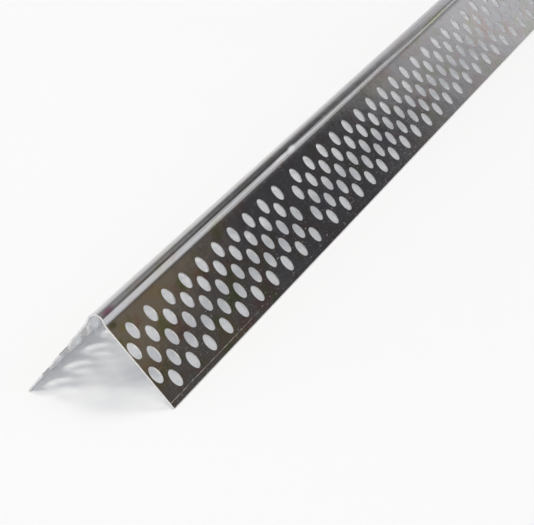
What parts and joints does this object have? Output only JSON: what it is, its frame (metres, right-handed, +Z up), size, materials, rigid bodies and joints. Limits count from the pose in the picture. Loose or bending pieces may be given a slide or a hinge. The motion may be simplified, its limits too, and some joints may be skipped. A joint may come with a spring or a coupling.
{
  "type": "drywall corner bead",
  "caption": "Perforated galvanised steel corner bead: two flat flanges with staggered round holes meet in a rounded nose, to cover and protect an outside wallboard corner.",
  "frame": {"origin": "on the floor under the middle of the bead, between the edges of its two flanges", "axes": "+Y along the bead away from its slightly slanted near end, +X towards the right flange's foot, +Z up from the floor through the nose"},
  "size_m": [0.0404, 1, 0.0224],
  "materials": {
    "galvanised_steel": "smooth bright zinc coat with a mirror-like sheen, faint rainbow tints and fine scuffs"
  },
  "bodies": {
    "root": {"right_flange": "galvanised_steel", "left_flange": "galvanised_steel"}
  },
  "joints": []
}
